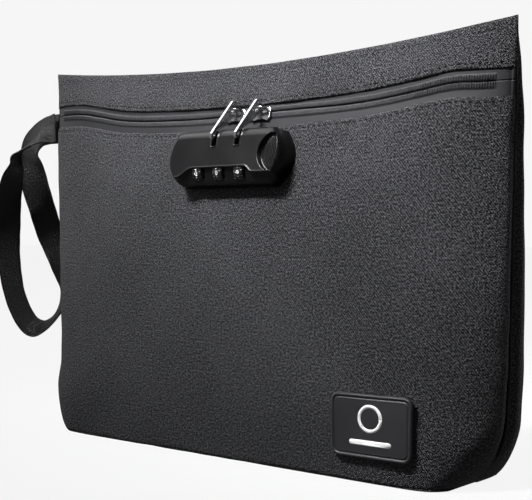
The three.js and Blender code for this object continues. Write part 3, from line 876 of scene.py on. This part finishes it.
def plate(name, outline, holes, thick, edge, matrix):
    """A flat metal plate with round holes and rolled edges, its thickness along the third axis."""
    rings = [[Vector((a, b, 0)) * MM for a, b in outline]]
    for (a, b), radius in holes:
        rings.append([Vector((a + radius * math.cos(t), b + radius * math.sin(t), 0)) * MM
                      for t in np.linspace(0, TURN, 20, endpoint=False)])
    flat = [v for ring in rings for v in ring]
    count = len(flat)
    triangles = tessellate_polygon(rings)
    vertices = [matrix @ (v + Vector((0, 0, lift))) for lift in (-thick / 2, thick / 2) for v in flat]
    faces = [tuple(t) for t in triangles] + [tuple(i + count for i in reversed(t)) for t in triangles]
    start = 0
    for ring in rings:
        faces += join(start, start + count, len(ring))
        start += len(ring)
    obj = new_object(name, vertices, faces, smooth_shade=False)
    bevel = obj.modifiers.new("edges", "BEVEL")
    bevel.width = edge
    bevel.segments = 3
    bevel.limit_method = "ANGLE"
    bevel.angle_limit = math.radians(35)
    return obj


def pull_tab(name, node_name):
    """Flat tab that stands on edge, hanging from its slider."""
    low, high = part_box(node_name)
    along = Vector((0, -math.sin(TAB_ANGLE), -math.cos(TAB_ANGLE)))
    across = Vector((0, -math.cos(TAB_ANGLE), math.sin(TAB_ANGLE)))
    turn = Matrix((along, across, along.cross(across))).transposed().to_4x4()
    matrix = Matrix.Translation(((low.x + high.x) / 2, HINGE.y, HINGE.z)) @ turn
    obj = plate(name, TAB_OUTLINE, [((0, 0), 1.45), ((20.8, 0.6), 0.8)], high.x - low.x, 0.4 * MM, matrix)
    finish_piece(obj, node_name, CHROME, "chrome", node_name)


def slider(name, node_name):
    """Slider body with a pinched waist, and the hoop that its tab hangs on."""
    low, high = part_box(node_name)
    middle = (low.x + high.x) / 2
    lean = Matrix.Rotation(-SLIDER_TILT, 4, "X")
    hinge = lean.to_3x3() @ Vector((0, -CROWN_OUT, CROWN_UP))
    frame_at = Matrix.Translation((middle, HINGE.y - hinge.y, HINGE.z - hinge.z)) @ lean
    facing = frame_at @ Matrix.Translation((0, -1.2 * MM, 0)) @ Matrix.Rotation(math.pi / 2, 4, "X")
    half = (high.x - low.x) / MM / 2 - 0.1
    lower_edge = [(-half, -2.4), (-half + 1.4, -4.2), (-1.5, -3.3), (1.5, -3.3), (half - 1.4, -4.2),
                  (half, -2.4)]
    outline = lower_edge + [(-a, -b) for a, b in lower_edge]
    body = plate(name, outline, [], 1.8 * MM, 0.55 * MM, facing)
    finish_piece(body, node_name, CHROME, "chrome", node_name)
    reach = half - 2.5
    hoop = [(-reach, -1.2), (-reach, -3.5), (-reach + 0.3, -5.2), (-reach + 1.4, -6.1), (-1.5, -6.2),
            (1.5, -6.2), (reach - 1.4, -6.1), (reach - 0.3, -5.2), (reach, -3.5), (reach, -1.2)]
    line = spline([(x, y, CROWN_UP / MM) for x, y in hoop], 70) * MM
    world = np.array(frame_at)
    arch = tube(f"{name}_hoop", line @ world[:3, :3].T + world[:3, 3], 0.85 * MM, 14)
    finish_piece(arch, node_name, CHROME, "chrome")


for hand in ("left", "right"):
    slider(f"slider_body_{hand}", f"slider_{hand}")
for hand in ("left", "right"):
    pull_tab(f"tab_{hand}", f"pull_tab_{hand}")


# ---- lock housing ----
LOCK_TILT = 0.255
LOCK_FOOT = Vector((3.8, -29.6, 146.8)) * MM
LOCK_HALF = 41.5 * MM
LOCK_HEIGHT = 30.0 * MM
LOCK_FRAME = Matrix.Translation(LOCK_FOOT) @ Matrix.Rotation(-LOCK_TILT, 4, "X")
LOCK_WIDEST = 14 * MM
COVER_DEPTH = 12.6 * MM
DIAL_CENTRES = [(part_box(f"dial_{i}")[0].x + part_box(f"dial_{i}")[1].x) / 2 - LOCK_FOOT.x for i in (1, 2, 3)]
DIAL_RADIUS = 5.2 * MM
DIAL_HALF = 3.1 * MM
DIAL_AXIS = (-7.0 * MM, 7.0 * MM)
SLOT_CENTRES = (-6.6 * MM, 10.8 * MM)
SLOT_HALF = 1.5 * MM
SLOT_BOTTOM = 20.2 * MM
SLOT_DEPTH = 9.6 * MM
BUTTON_X = 33.2 * MM
BUTTON_Z = 15.6 * MM
BUTTON_HALF = (6.4 * MM, 10.4 * MM)


def lock_points(x, depth, z):
    """Points in the lock's own frame (x along, depth out, z up its face), as points of the part."""
    turn = np.array(LOCK_FRAME)
    local = np.stack(np.broadcast_arrays(x, -np.asarray(depth), z), -1)
    return local @ turn[:3, :3].T + turn[:3, 3]


def lip_height(x):
    """Lower lip of the face plate: straight over the dials, then an S down to a lower shelf on the right."""
    left = smooth(-33 * MM, -21 * MM, x)
    right = smooth(18.5 * MM, 24.5 * MM, x)
    return (2.6 + 5.0 * left - 3.4 * right) * MM


def lock_end(z):
    """Half the cover's length at height z: its ends bow in from the widest line."""
    bow = np.where(z < LOCK_WIDEST, (LOCK_WIDEST - z) / LOCK_WIDEST, (z - LOCK_WIDEST) / (17.5 * MM))
    return LOCK_HALF - 8.5 * MM * np.clip(bow, 0, 1) ** 2


def recess_left(v):
    """The bowed left edge of the finger recess, in shares of its half width and half height."""
    return -1 + 1.1 * np.abs(v) ** 2.4


def lock_face(x, z):
    """How far the housing's front stands out of its back plane at (x, z)."""
    shelf = lip_height(x)
    from_end = lock_end(z) - np.abs(x)
    from_top = LOCK_HEIGHT - z
    cover = COVER_DEPTH + 0.8 * MM * z / LOCK_HEIGHT - 0.5 * MM * (x / LOCK_HALF) ** 2
    cover = cover - 1.5 * MM * (1 - rounded_step(from_top, 3.2 * MM))
    cover = cover - 1.3 * MM * smooth(5.2 * MM, 0, from_top)
    cover = cover - 1.6 * MM * (1 - rounded_step(from_end, 1.8 * MM))
    under = 7.0 * MM + 3.9 * MM * np.clip(z / (7 * MM), 0, 1) ** 0.8
    step = smooth(-0.35 * MM, 0.35 * MM, z - shelf)
    depth = under * (1 - step) + cover * step
    rim = bell(z - shelf - 0.5 * MM, 0.55 * MM) * smooth(-38 * MM, -34 * MM, x)
    depth = depth + 0.28 * MM * rim * (from_end > 2 * MM)
    for centre in SLOT_CENTRES:
        outside = corner_distance(np.abs(x - centre) - SLOT_HALF, SLOT_BOTTOM - z)
        depth = depth - SLOT_DEPTH * (1 - smooth(-0.3 * MM, 0.15 * MM, outside))
        depth = depth + 0.35 * MM * bell(outside - 0.55 * MM, 0.4 * MM) * (from_top > 1 * MM)
    u = (x - BUTTON_X) / BUTTON_HALF[0]
    v = (z - BUTTON_Z) / BUTTON_HALF[1]
    right_arc = 1 - 0.35 * np.abs(v) ** 2
    beside = np.minimum(u - recess_left(v), right_arc - u) * BUTTON_HALF[0]
    inside = np.minimum(beside, (1 - np.abs(v)) * BUTTON_HALF[1])
    scoop = smooth(-0.25 * MM, 0.35 * MM, inside) * (2.9 * MM - 1.0 * MM * smooth(-1.0, 1.0, u))
    scoop = scoop * smooth(0.2 * MM, 1.2 * MM, from_end)
    depth = depth - scoop + 0.35 * MM * bell(inside + 0.5 * MM, 0.45 * MM) * smooth(-0.6, 0.2, u)
    for centre in DIAL_CENTRES:
        gap = np.abs(x - centre) - (DIAL_HALF + 0.4 * MM)
        open_z = np.maximum(z - lip_height(x) + 0.4 * MM, 3.0 * MM - z)
        hole = (1 - smooth(-0.15 * MM, 0.15 * MM, gap)) * (1 - smooth(-0.3 * MM, 0.3 * MM, open_z))
        depth = depth * (1 - hole) + 1.0 * MM * hole
        mouth = bell(np.maximum(gap, 0), 1.1 * MM) * (1 - smooth(-0.5 * MM, 1.2 * MM, open_z))
        depth = depth - 0.5 * MM * mouth * (1 - hole)
    return depth


def lock_cover():
    """The moulded cover: one heightfield, pulled in at the bowed ends and closed at the back."""
    taper_depth = 12 * MM
    z = np.linspace(0, LOCK_HEIGHT, 118)[None, :]
    x = np.linspace(-1, 1, 300)[:, None] * lock_end(z)
    zz = z + 0 * x
    depth = lock_face(x, zz)
    taper = 1 - 0.045 * smooth(0, 1, np.clip(depth / taper_depth, 0, 1))
    raised = zz * (1 - 0.02 * depth / taper_depth) + 0.3 * MM * depth / taper_depth
    outer = lock_points(x * taper, depth, raised)
    inner = lock_points(x, -0.2 * MM + 0 * x, zz)
    piece = slab("lock_housing", outer, inner)
    finish_piece(piece, "bag", ABS, "abs", "lock_cover")


lock_cover()


def release_pad():
    """The finger pad in the recess, with fine upright ridges."""
    v = np.linspace(-0.9, 0.9, 60)[None, :]
    t = np.linspace(0, 1, 90)[:, None]
    pad_share = 0.84
    left = recess_left(v) * pad_share
    right = pad_share - 0.35 * np.abs(v) ** 2
    u = left + (right - left) * t
    x = BUTTON_X + u * BUTTON_HALF[0]
    z = BUTTON_Z + v * BUTTON_HALF[1]
    ridge = 0.5 + 0.5 * np.cos(TURN * (x - BUTTON_X) / (1.15 * MM))
    edge = np.minimum(np.minimum(t, 1 - t) * 11 * MM, (0.9 - np.abs(v)) * 10.6 * MM)
    depth = 10.6 * MM + 0.4 * MM * ridge * smooth(0.3 * MM, 1.2 * MM, edge)
    depth = depth - 1.0 * MM * (1 - rounded_step(edge, 1.2 * MM))
    outer = lock_points(x, depth + 0 * z, z + 0 * x)
    inner = lock_points(x, 8.95 * MM + 0 * x * z, z + 0 * x)
    piece = slab("release_pad", outer, inner)
    finish_piece(piece, "latch", ABS, "abs", "release_button")


release_pad()


# ---- dials ----
# Digits 0 to 9, each one stroke on a unit cell.
STROKES = [
    [(0.5 + 0.36 * math.cos(a), 0.5 + 0.5 * math.sin(a)) for a in np.linspace(0, TURN, 17)],
    [(0.3, 0.8), (0.55, 1.0), (0.55, 0.0)],
    [(0.15, 0.8), (0.35, 1.0), (0.7, 1.0), (0.85, 0.75), (0.15, 0.0), (0.88, 0.0)],
    [(0.15, 1.0), (0.85, 1.0), (0.45, 0.6), (0.85, 0.35), (0.7, 0.02), (0.2, 0.02)],
    [(0.65, 0.0), (0.65, 1.0), (0.12, 0.3), (0.9, 0.3)],
    [(0.85, 1.0), (0.25, 1.0), (0.2, 0.58), (0.65, 0.6), (0.85, 0.3), (0.65, 0.0), (0.15, 0.05)],
    [(0.75, 1.0), (0.25, 0.55), (0.2, 0.2), (0.5, 0.0), (0.8, 0.2), (0.75, 0.5), (0.25, 0.5)],
    [(0.12, 1.0), (0.88, 1.0), (0.4, 0.0)],
    [(0.5, 0.52), (0.2, 0.75), (0.5, 1.0), (0.8, 0.75), (0.5, 0.52), (0.15, 0.25), (0.5, 0.0), (0.85, 0.25),
     (0.5, 0.52)],
    [(0.25, 0.0), (0.75, 0.45), (0.8, 0.8), (0.5, 1.0), (0.2, 0.8), (0.25, 0.5), (0.75, 0.5)],
]
# Turn of digit 0 from straight out.
DIAL_START = math.radians(-22)


def dial_point(centre, angle, radius, across):
    """A point on a dial: angle 0 faces straight out of the lock, growing upwards."""
    depth = -DIAL_AXIS[0] + radius * math.cos(angle)
    z = DIAL_AXIS[1] + radius * math.sin(angle)
    return lock_points(centre + across, depth, z)


def dial_wheel(index, centre):
    """A wheel whose rim has ten flats with finger grooves between them."""
    rows = [(-1, -0.5), (-0.86, -0.12), (-0.6, 0), (0.6, 0), (0.86, -0.12), (1, -0.5)]
    steps = 180
    bore = 3.05 * MM
    vertices = []
    for at, drop in rows:
        for k in range(steps):
            a = TURN * k / steps
            groove = max(0.0, math.cos(10 * (a + math.radians(22)) + math.pi)) ** 6
            radius = DIAL_RADIUS + (drop - 0.55 * groove) * MM - 0.05 * MM
            vertices.append(dial_point(centre, a, radius, at * DIAL_HALF))
    count = len(rows)
    faces = join_rings(count, steps)
    for i, at in ((0, -1), (count - 1, 1)):
        faces += join(i * steps, len(vertices), steps)
        for k in range(steps):
            vertices.append(dial_point(centre, TURN * k / steps, bore, at * DIAL_HALF))
    faces += join_rings(2, steps, count * steps)
    wheel = new_object(f"dial_wheel_{index}", vertices, faces)
    finish_piece(wheel, f"dial_{index}", DIAL, "dial", f"dial_{index}")


def numeral_mesh(index, centre):
    """White numerals, a digit on each flat, as thin raised strokes that wrap the rim."""
    vertices, faces = [], []
    height, width, thick = 2.1 * MM, 2.0 * MM, 0.42 * MM
    for k, stroke in enumerate(STROKES):
        middle = DIAL_START - TURN * k / len(STROKES)
        points = [((px - 0.5) * width, (py - 0.5) * height) for px, py in stroke]
        for (ax, ay), (bx, by) in zip(points, points[1:]):
            length = math.hypot(bx - ax, by - ay)
            dx, dy = (bx - ax) / length, (by - ay) / length
            a = (ax - dx * thick * 0.4, ay - dy * thick * 0.4)
            b = (bx + dx * thick * 0.4, by + dy * thick * 0.4)
            out_x, out_y = dy * thick / 2, dx * thick / 2
            quad = [(a[0] - out_x, a[1] + out_y), (a[0] + out_x, a[1] - out_y),
                    (b[0] + out_x, b[1] - out_y), (b[0] - out_x, b[1] + out_y)]
            start = len(vertices)
            for radius in (DIAL_RADIUS - 0.12 * MM, DIAL_RADIUS + 0.03 * MM):
                for across, up in quad:
                    vertices.append(dial_point(centre, middle + up / DIAL_RADIUS, radius, across))
            faces += end_caps(2, 4, start) + join_rings(2, 4, start)
    marks = new_object(f"dial_numerals_{index}", vertices, faces, smooth_shade=False)
    finish_piece(marks, f"dial_{index}", WHITE, "emblem")


for number, place in enumerate(DIAL_CENTRES, 1):
    dial_wheel(number, place)
    numeral_mesh(number, place)


# ---- camera, light and stage ----
FLOOR_HALF = 6
BACKDROP_RADIUS = 8.0
CAMERA_LENS = 77.8
CAMERA_SHIFT = -0.0434
CAMERA_PLACE = (0.419, -0.497, 0.1256)
CAMERA_TURN = math.radians(39.9)
# Each light's name, place, aim, size, power and spread.
LIGHTS = [
    ("key_light", (-0.2, -0.6, 0.95), (0.0, 0.0, 0.27), (0.42, 0.16), 1.75, math.radians(30)),
    ("lock_card", (-0.53, -1.07, 0.62), (0.04, 0.0, 0.15), (0.1, 0.3), 0.8, None),
    ("rear_card", (0.5, 1.3, 0.8), (0.0, 0.0, 0.12), (0.8, 0.5), 9.0, None),
    ("tab_card", (-0.95, -0.1, 1.1), (0.0, -0.03, 0.18), (0.5, 0.5), 2.2, None),
    ("side_strip", (-1.3, -0.25, 0.35), (-0.1, 0.0, 0.15), (0.25, 0.8), 2.0, None),
]


def area_light(name, place, aim, size, power, spread):
    data = bpy.data.lights.new(name, "AREA")
    data.shape = "RECTANGLE"
    data.size, data.size_y = size
    data.energy = power
    if spread:
        data.spread = spread
    obj = add_object(name, data)
    obj.location = place
    obj.rotation_euler = (Vector(aim) - Vector(place)).to_track_quat("-Z", "Y").to_euler()


def hide_from_bounces(obj):
    obj.visible_diffuse = False
    obj.visible_glossy = False


def studio_floor():
    """A glowing white floor that takes shadows and throws no light back on the bag."""
    ground, tree, shader = material("studio_floor", (0.06, 0.06, 0.0605), 0.9)
    speck = noise(tree, object_place(tree), 35.0)
    link(tree, ramp(tree, speck, [(0.2, (0.059, 0.059, 0.0595)), (0.8, (0.061, 0.061, 0.0615))]),
         shader.inputs["Base Color"])
    put(shader, Emission_Color=(1, 1, 1, 1), Emission_Strength=0.885, Specular_IOR_Level=0.0)
    corners = [(x * FLOOR_HALF, y * FLOOR_HALF, 0) for x, y in ((-1, -1), (1, -1), (1, 1), (-1, 1))]
    floor = new_object("studio_floor", corners, [(0, 1, 2, 3)], smooth_shade=False, closed=False)
    floor.data.materials.append(ground)
    hide_from_bounces(floor)
    return floor


def studio_backdrop():
    """A pale sphere round the scene that only the camera sees."""
    wall, tree, shader = material("studio_backdrop", (0, 0, 0), 1.0)
    put(shader, Emission_Color=(1, 1, 1, 1))
    drift = noise(tree, object_place(tree), 0.3, 1.0)
    glow = plus(tree, times(tree, drift, 0.01), 0.915)
    link(tree, glow, shader.inputs["Emission Strength"])
    bpy.ops.mesh.primitive_uv_sphere_add(segments=64, ring_count=32, radius=BACKDROP_RADIUS)
    backdrop = bpy.context.object
    backdrop.name = "studio_backdrop"
    backdrop.data.materials.append(wall)
    hide_from_bounces(backdrop)
    backdrop.visible_transmission = False
    backdrop.visible_shadow = False
    return backdrop


def photo_camera():
    data = bpy.data.cameras.new("photo_camera")
    data.lens = CAMERA_LENS
    data.sensor_width = 36
    data.shift_y = CAMERA_SHIFT
    camera = add_object("photo_camera", data)
    camera.location = CAMERA_PLACE
    camera.rotation_euler = (math.pi / 2, 0, CAMERA_TURN)
    bpy.context.scene.camera = camera


def stage_and_camera():
    floor = studio_floor()
    backdrop = studio_backdrop()
    scene = bpy.context.scene
    world = bpy.data.worlds.new("studio_world")
    scene.world = world
    world.use_nodes = True
    put(world.node_tree.nodes["Background"], Color=(0.9, 0.9, 0.92, 1), Strength=0.15)
    for light in LIGHTS:
        area_light(*light)
    photo_camera()
    scene.view_settings.view_transform = "Standard"


stage_and_camera()
